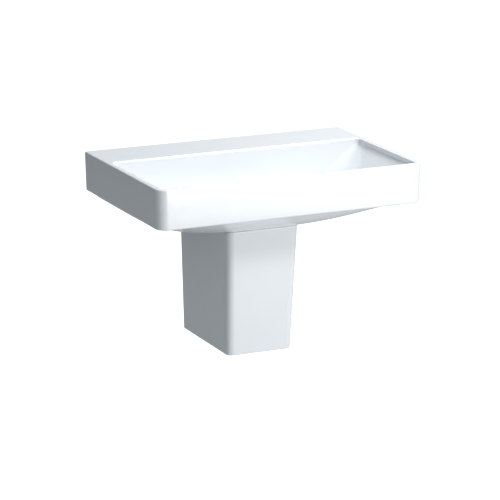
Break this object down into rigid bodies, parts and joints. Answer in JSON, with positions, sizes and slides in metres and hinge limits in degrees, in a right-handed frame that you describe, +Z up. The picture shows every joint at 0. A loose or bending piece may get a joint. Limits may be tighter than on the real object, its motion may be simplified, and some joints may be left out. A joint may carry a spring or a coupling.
{
  "type": "wall-hung basin with half pedestal",
  "caption": "Wall-hung rectangular white ceramic washbasin with a rear deck, a half pedestal that hides a bottle trap, a push-open waste and wall fixings.",
  "frame": {"origin": "on the wall plane, midway between the two bolts that hold the basin", "axes": "+X along the wall, +Y into the wall (the front faces -Y), +Z up"},
  "size_m": [0.6998, 0.5269, 0.486],
  "materials": {
    "glazed_ceramic": "glossy white glaze",
    "zinc_steel": "zinc plated",
    "white_plastic": "moulded, satin",
    "waste_brass": "turned",
    "black_rubber": "moulded",
    "polished_chrome": "polished"
  },
  "bodies": {
    "fixed_basin": {"basin": "glazed_ceramic", "half_pedestal": "glazed_ceramic", "basin_hanger_bolts": "zinc_steel", "basin_bolt_sleeves": "white_plastic", "basin_fixing_washers": "zinc_steel", "basin_fixing_nuts": "zinc_steel", "pedestal_hanger_bolts": "zinc_steel", "pedestal_bolt_sleeves": "white_plastic", "pedestal_fixing_washers": "zinc_steel", "pedestal_fixing_nuts": "zinc_steel", "waste_body": "waste_brass", "flange_seal": "black_rubber", "plug_cartridge": "white_plastic", "waste_gasket": "black_rubber", "waste_clamp_washer": "white_plastic", "waste_back_nut": "waste_brass", "trap_inlet_nut": "white_plastic", "trap_inlet_seal": "black_rubber", "trap_dip_tube": "white_plastic", "trap_top_nut": "white_plastic", "trap_top_seal": "black_rubber", "trap_body": "white_plastic", "trap_outlet_nut": "white_plastic", "trap_outlet_seal": "black_rubber", "outlet_pipe": "white_plastic"},
    "waste_plug": {"plug_cap": "polished_chrome", "plug_stem": "waste_brass", "plug_seal": "black_rubber"},
    "cup_travel": {"trap_cup_seal": "black_rubber"},
    "trap_cup": {"trap_cup": "white_plastic"},
    "escutcheon": {"wall_escutcheon": "polished_chrome"}
  },
  "joints": [
    {"name": "plug_press", "type": "slide", "parent": "fixed_basin", "child": "waste_plug", "axis": [0, 0, 1], "range_m": [0, 0.009]},
    {"name": "cup_travel", "type": "slide", "parent": "fixed_basin", "child": "cup_travel", "axis": [0, 0, -1], "range_m": [0, 0.016]},
    {"name": "cup_turn", "type": "hinge", "parent": "cup_travel", "child": "trap_cup", "pos_m": [0, -0.225, -0.294], "axis": [0, 0, -1], "range_deg": [0, 1440]},
    {"name": "escutcheon_slide", "type": "slide", "parent": "fixed_basin", "child": "escutcheon", "axis": [0, -1, 0], "range_m": [0, 0.05]}
  ],
  "couplings": [
    {"joint": "cup_travel", "follows": "cup_turn", "m_per_rad": 0.00063662}
  ]
}
